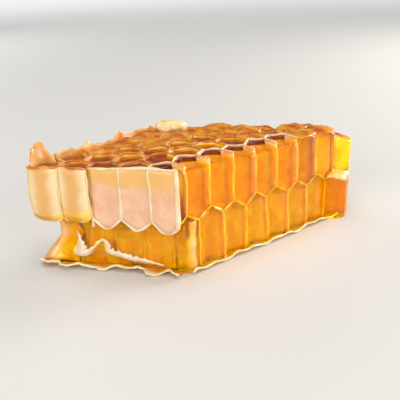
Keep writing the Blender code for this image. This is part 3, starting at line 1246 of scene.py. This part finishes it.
skirt = {
    "thickness": 0.3,
    "rim": (0.20, 0.6),  # radius and its unevenness
    "stepsPerMillimetre": 6,
    "lowest": 0.18,
    "foot": 0.3,
    "crumple": 1.1,
    "flareStarts": -8.5,
    "flareEnds": -12.0,
    "left": {"length": 23.6, "width": 2.5, "wave": 0.62, "rise": 1.5, "along": -0.33, "out": 0.5},
    "right": {"length": 38.0, "width": 0.9, "wave": 0.34, "rise": 0.0, "along": 0.0, "out": 0.45},
}


def buildSkirt(name, size, foot, angle):
    # the wavy edge of wax that sticks out under the honey of a cut, with a thicker pale rim
    facing = heading(angle - quarter)
    middle = foot + heading(angle) * size["along"] * pitch + facing * size["out"]

    def placeAt(outer, along):
        x = (along - 0.5) * size["length"]
        wave = math.sin(x / 1.5) + 0.6 * math.sin(x / 0.73 + 1.1) + 0.9 * noise.noise(Vector((x / 1.9, 8, 1)))
        ragged = noise.noise(Vector((x / 2.6, 2, 5))) + 0.5 * noise.noise(Vector((x / 0.8, 2, 9)))
        out = outer * size["width"] * (0.86 + 0.36 * ragged)
        lift = (wave * 0.6 + 0.9) * size["wave"]
        lift += size["rise"] * smoothStep(x, skirt["flareStarts"], skirt["flareEnds"])
        place = middle + heading(angle) * x + facing * out
        place.z = skirt["foot"] + lift * outer ** 1.6
        place = crumpled(warp(place), skirt["crumple"])
        place.z = max(place.z, skirt["lowest"])
        return place

    grid = gridOf(8, round(size["length"] * skirt["stepsPerMillimetre"]), placeAt)
    bm = bmesh.new()
    addSheet(bm, grid, "outward")
    return [
        thickened(bm, name, skirtWax, skirt["thickness"]),
        beads(name + "Rim", [grid[-1]], creamWax, *skirt["rim"]),
    ]


lump = {
    "size": (6.0, 3.4, 2.4),
    "cell": (0.1, 4.9),
    "lift": 0.6,
    "turn": 12.0,
    "coarse": (0.3, 1.6),
    "fine": (0.1, 0.6),
}


def buildLump():
    # a lump of pale capping wax left on the far edge
    bm = bmesh.new()
    bmesh.ops.create_icosphere(bm, subdivisions=5, radius=0.5)
    place = upperCentre(*lump["cell"]) + Vector((0, 0, top + lump["lift"]))
    turn = Matrix.Rotation(math.radians(lump["turn"]), 3, "Z")
    for vert in bm.verts:
        co = Vector(value * length for value, length in zip(vert.co, lump["size"]))
        rough = [noise.noise_vector(co / length) * size for size, length in (lump["coarse"], lump["fine"])]
        vert.co = warp(turn @ (co + rough[0] + rough[1]) + place)
    obj = newObject("waxLump", meshFromBmesh(bm, "waxLump"))
    obj.data.materials.append(creamWax)
    obj.data.shade_smooth()
    return obj


fold = {
    # places along the face, heights, how far out, and widths
    "places": ((-9.9, 6.3, 0.8, 0.25), (-9.2, 4.7, 1.0, 1.1), (-8.5, 3.1, 1.1, 2.0), (-7.5, 2.3, 1.1, 1.7),
               (-6.3, 3.2, 1.0, 0.9), (-4.9, 4.7, 0.95, 0.6), (-4.1, 4.5, 1.0, 1.0), (-3.5, 3.2, 1.05, 1.7),
               (-2.4, 2.5, 1.1, 1.6), (0.2, 2.0, 1.1, 1.5), (2.9, 1.6, 1.05, 1.3), (6.6, 1.2, 0.8, 0.4)),
    "steps": 10,
    "across": 6,
    "raggedness": 0.8,
    "crown": 0.3,
    "sunk": 0.7,
    "lowest": 0.3,
    "thickness": 0.2,
    "crumple": 1.2,
}


def between(p, q, r, w, t):
    # a smooth step from q to r, led by the values before and after them
    curve = 2 * q + (r - p) * t + (2 * p - 5 * q + 4 * r - w) * t * t
    return 0.5 * (curve + (3 * q - p - 3 * r + w) * t ** 3)


def smoothed(places, steps):
    # a smooth line through places of any number of values
    ends = [places[0]] + list(places) + [places[-1]]
    line = []
    for a, b, c, d in zip(ends, ends[1:], ends[2:], ends[3:]):
        for step in range(steps):
            line.append([between(*four, step / steps) for four in zip(a, b, c, d)])
    return line + [list(places[-1])]


def foldRow(before, here, after):
    # places across the folded edge, square to its direction
    along, height, out, width = here
    tangent = Vector((after[0] - before[0], after[1] - before[1])).normalized()
    row = []
    for share in shares(fold["across"]):
        offset = 2 * share - 1
        offset *= 1 + fold["raggedness"] * noise.noise(Vector((along * 1.6, height, 3 if offset > 0 else 9)))
        proud = fold["crown"] * (1 - offset ** 2) - fold["sunk"] * (0.5 - 0.5 * offset)
        place = leftFoot + heading(rowAngle) * (along - tangent.y * offset * width / 2)
        place += leftFacing * (out + proud)
        place.z = max(height + tangent.x * offset * width / 2, fold["lowest"])
        row.append(crumpled(warp(place), fold["crumple"]))
    return row


def buildFold():
    # the pale folded edge that zigzags over the honey of the near left face
    line = smoothed(fold["places"], fold["steps"])
    grid = [foldRow(*three) for three in zip(line[:1] + line, line, line[1:] + line[-1:])]
    return sheetPiece("foldedEdge", grid, ribbonWax, fold["thickness"], 1)


print("building honey")
pieces = [buildHoney()]
print("building walls")
pieces += buildWalls()
pieces.append(buildBackings())
# dark sheets inside the cut row's mouths are painted shade
pieces.append(buildShadeLinings("mouthShadeLinings", mouths["cutCells"], mouthShadeWax))
# orange-brown sheets inside a few mouths are painted shade
pieces.append(buildShadeLinings("warmShadeLinings", mouths["warmShadeCells"], warmShadeWax))
print("building wax at the cuts and edges")
pieces += buildDryCells()
pieces += [buildFootSkin(), buildCaps(), buildTornWalls()]
skirts = buildSkirt("waxSkirt", skirt["left"], leftFoot, rowAngle)
skirts += buildSkirt("sideSkirt", skirt["right"], rightFoot, columnAngle)
pieces += [buildLump(), buildFold(), buildCornerStrip()] + skirts

for piece in pieces:
    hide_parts("honeycomb")
    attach(piece, "root")
print("pieces", len(pieces), "faces", sum(len(piece.data.polygons) for piece in pieces))


# Floor, light and camera: metres, but millimetres for the camera

studio = {
    "floorColour": rgb(222, 220, 216),
    "floorRoughness": 0.6,
    "floorReach": 3.0,
    "hazeColour": rgb(228, 228, 227),
    "hazeRange": (0.10, 0.85),
    "worldColour": (1.0, 1.0, 1.0, 1.0),
    "worldStrength": 0.14,
    "wallColour": rgb(236, 236, 235),
    # place, size, power and colour
    "lights": {
        "topLight": ((-0.04, 0.00, 0.42), (0.34, 0.30), 0.84, (1.0, 1.0, 1.0)),
        "leftLight": ((-0.20, -0.30, 0.14), (0.22, 0.16), 0.68, (1.0, 1.0, 1.0)),
        "rightLight": ((0.26, -0.24, 0.13), (0.16, 0.18), 0.54, (1.0, 1.0, 1.0)),
        "backLight": ((0.30, 0.16, 0.12), (0.20, 0.16), 1.1, (1.0, 0.97, 0.92)),
        "farLight": ((-0.24, 0.30, 0.16), (0.24, 0.18), 0.35, (1.0, 1.0, 1.0)),
    },
    "lightTarget": (0.0, 0.0, 0.01),
    "cameraPivot": (-4.28, -15.41, 9.5),
    "cameraDistance": 110.0,
    "cameraElevation": 22.0,
    "cameraTarget": (0.0, -2.0, 8.6),
    "cameraRoll": 2.4,
    "lens": 61.0,
}


def buildFloor():
    # the haze makes the far floor fade into the wall
    reach = studio["floorReach"]
    mesh = bpy.data.meshes.new("floor")
    corners = [(-reach, -reach, 0), (reach, -reach, 0), (reach, reach, 0), (-reach, reach, 0)]
    mesh.from_pydata(corners, [], [(0, 1, 2, 3)])
    finish = Finish("floorPaper")
    measure = finish.add("ShaderNodeVectorMath", {"operation": "LENGTH"}, {0: finish.place()})
    away = finish.out(measure, "Value")
    finish.set({
        "Base Color": studio["floorColour"],
        "Roughness": studio["floorRoughness"],
        "Emission Color": finish.mix(away.ramp(*studio["hazeRange"]), (0, 0, 0, 1), studio["hazeColour"]),
        "Emission Strength": 1.0,
    })
    mesh.materials.append(finish.material)
    newObject("floor", mesh)


def addLight(name, place, size, power, colour):
    lamp = bpy.data.lights.new(name, "AREA")
    lamp.shape = "RECTANGLE"
    lamp.size, lamp.size_y = size
    lamp.energy = power
    lamp.color = colour
    obj = newObject(name, lamp)
    obj.location = Vector(place)
    obj.rotation_euler = (Vector(studio["lightTarget"]) - obj.location).to_track_quat("-Z", "Y").to_euler()


def buildLight():
    # a dim sky lights the piece, and the camera sees a pale wall in its place
    world = bpy.data.worlds.new("studio")
    bpy.context.scene.world = world
    world.use_nodes = True
    sky = NodeMaker(world.node_tree)
    glow = world.node_tree.nodes["Background"]
    sky.feed(glow, {"Color": studio["worldColour"], "Strength": studio["worldStrength"]})
    wall = sky.add("ShaderNodeBackground", values={"Color": studio["wallColour"], "Strength": 1.0})
    isSeen = sky.out(sky.add("ShaderNodeLightPath"), "Is Camera Ray")
    mixed = sky.add("ShaderNodeMixShader", values={0: isSeen, 1: sky.out(glow), 2: sky.out(wall)})
    sky.feed(world.node_tree.nodes["World Output"], {"Surface": sky.out(mixed)})
    for name, values in studio["lights"].items():
        addLight(name, *values)
    bpy.context.scene.view_settings.view_transform = "Standard"


def buildCamera():
    lift = math.radians(studio["cameraElevation"])
    back = Vector((0, math.cos(lift), -math.sin(lift))) * studio["cameraDistance"]
    place = Vector(studio["cameraPivot"]) - back
    camera = bpy.data.cameras.new("camera")
    camera.lens = studio["lens"]
    camera.sensor_width = 36
    camera.clip_start = 0.005
    obj = newObject("camera", camera)
    look = (Vector(studio["cameraTarget"]) - place).to_track_quat("-Z", "Y").to_matrix().to_4x4()
    roll = Matrix.Rotation(-math.radians(studio["cameraRoll"]), 4, "Z")
    obj.matrix_world = Matrix.Translation(place * mm) @ look @ roll
    bpy.context.scene.camera = obj


buildFloor()
buildLight()
buildCamera()
print("studio ready")
